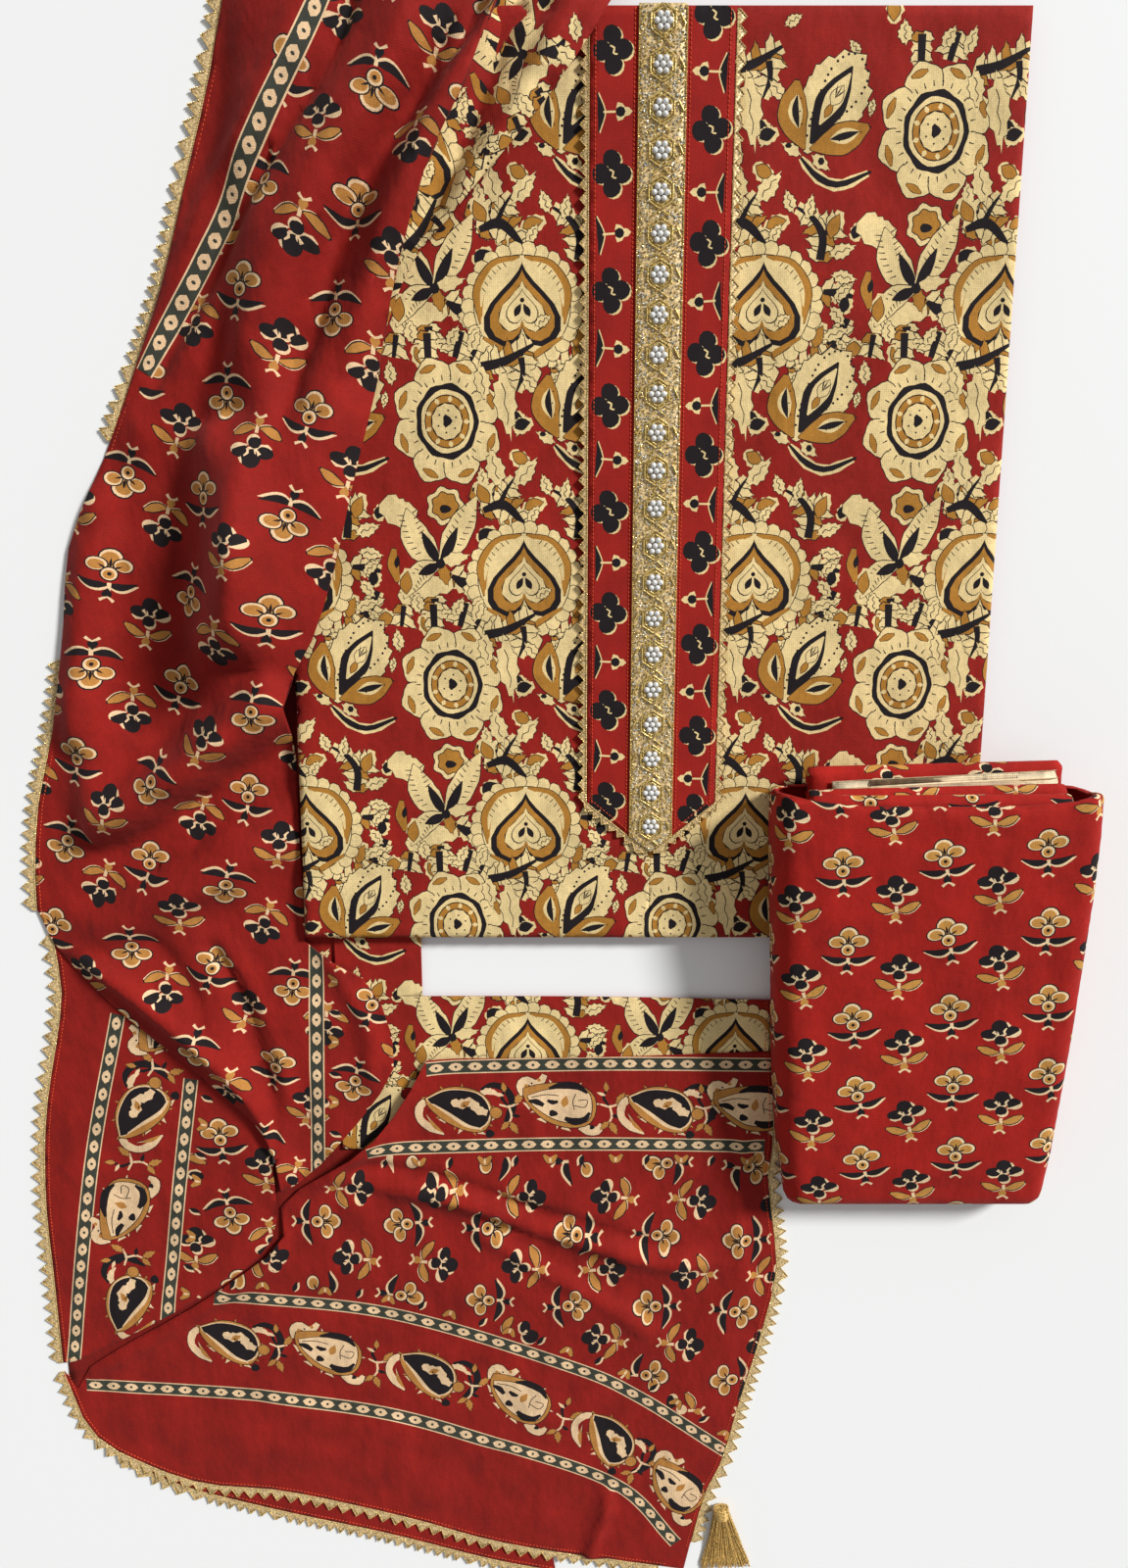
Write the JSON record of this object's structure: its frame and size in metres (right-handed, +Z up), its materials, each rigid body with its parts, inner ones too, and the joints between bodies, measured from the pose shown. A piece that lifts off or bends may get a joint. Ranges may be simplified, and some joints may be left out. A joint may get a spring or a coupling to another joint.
{
  "type": "folded salwar kameez suit",
  "caption": "Three-piece salwar kameez set laid flat: folded kameez panel with beaded placket, draped dupatta with gold lace and a folded salwar bundle.",
  "frame": {"origin": "middle of the folded kameez panel's flat underside, on the surface that the set lies on", "axes": "+Y along the panel towards its neck end, +X to the panel's right seen from above, +Z up from the surface"},
  "size_m": [0.7725, 1.2256, 0.07],
  "materials": {
    "kameez_print": "matt block-printed cotton: red ground, cream, ochre and black",
    "placket_print": "matt red cotton with black flowers",
    "dupatta_cotton": "thin matt red cotton with tan and black sprigs",
    "salwar_cotton": "matt red cotton with tan and black sprigs",
    "selvedge_cream": "matt cream selvedge",
    "gota_gold": "glossy pale gold ribbon lace",
    "bead_gold": "gold beads with pearl clusters",
    "tassel_gold": "shiny gold thread"
  },
  "bodies": {
    "root": {"kameez_body": "kameez_print", "kameez_side": "kameez_print", "kameez_tail": "kameez_print", "kameez_gather": "kameez_print", "yoke_panel": "placket_print", "placket_lace": "bead_gold", "yoke_gota_left": "gota_gold", "yoke_gota_right": "gota_gold", "tail_gota": "gota_gold", "dupatta_fall": "dupatta_cotton", "dupatta_corner": "dupatta_cotton", "dupatta_spread": "dupatta_cotton", "dupatta_under_hem": "dupatta_cotton", "gota_fall_upper": "gota_gold", "gota_fall_lower": "gota_gold", "gota_corner": "gota_gold", "gota_spread_hem": "gota_gold", "gota_spread_side": "gota_gold", "gota_under_hem": "gota_gold", "tassel": "tassel_gold", "salwar_wrap": "salwar_cotton", "salwar_back_leaf": "salwar_cotton", "salwar_inner_leaf": "salwar_cotton", "salwar_front_leaf": "salwar_cotton", "salwar_selvedge": "selvedge_cream"}
  },
  "joints": []
}
